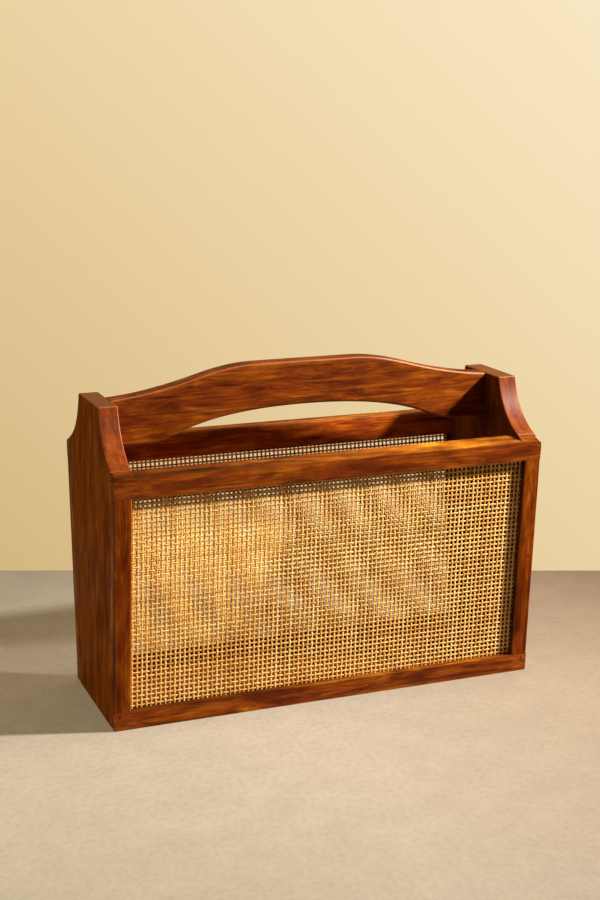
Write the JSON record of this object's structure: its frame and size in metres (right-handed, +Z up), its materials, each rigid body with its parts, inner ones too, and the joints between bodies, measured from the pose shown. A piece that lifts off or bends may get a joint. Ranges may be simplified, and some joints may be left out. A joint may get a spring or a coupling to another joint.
{
  "type": "magazine basket",
  "caption": "Free-standing wooden magazine basket with coved end panels, leaning framed cane sides and a fixed arched handle along the middle.",
  "frame": {"origin": "on the floor under the middle of the basket", "axes": "+X along the basket from its left end panel to its right, -Y towards the front frame, +Z up"},
  "size_m": [0.4, 0.1698, 0.3012],
  "materials": {
    "wood": "polished reddish brown hardwood with dark streaky grain",
    "cane": "woven natural cane, straw to golden, slightly glossy",
    "reed": "plain round-edged reed",
    "dowel": "plain sanded beech-like wood",
    "nail": "plain steel wire nail"
  },
  "bodies": {
    "root": {"base_panel": "wood", "front_bottom_rail": "wood", "front_cane_panel": "cane", "front_dowel_bottom_left": "dowel", "front_dowel_bottom_right": "dowel", "front_dowel_top_left": "dowel", "front_dowel_top_right": "dowel", "front_left_stile": "wood", "front_nail_bottom_left": "nail", "front_nail_bottom_right": "nail", "front_nail_middle_left": "nail", "front_nail_middle_right": "nail", "front_nail_top_left": "nail", "front_nail_top_right": "nail", "front_right_stile": "wood", "front_spline_bottom": "reed", "front_spline_left": "reed", "front_spline_right": "reed", "front_spline_top": "reed", "front_top_batten": "wood", "front_top_rail": "wood", "handle": "wood", "handle_dowel_left_high": "dowel", "handle_dowel_left_low": "dowel", "handle_dowel_right_high": "dowel", "handle_dowel_right_low": "dowel", "left_end_panel": "wood", "rear_bottom_rail": "wood", "rear_cane_panel": "cane", "rear_dowel_bottom_left": "dowel", "rear_dowel_bottom_right": "dowel", "rear_dowel_top_left": "dowel", "rear_dowel_top_right": "dowel", "rear_left_stile": "wood", "rear_nail_bottom_left": "nail", "rear_nail_bottom_right": "nail", "rear_nail_middle_left": "nail", "rear_nail_middle_right": "nail", "rear_nail_top_left": "nail", "rear_nail_top_right": "nail", "rear_right_stile": "wood", "rear_spline_bottom": "reed", "rear_spline_left": "reed", "rear_spline_right": "reed", "rear_spline_top": "reed", "rear_top_batten": "wood", "rear_top_rail": "wood", "right_end_panel": "wood"}
  },
  "joints": []
}
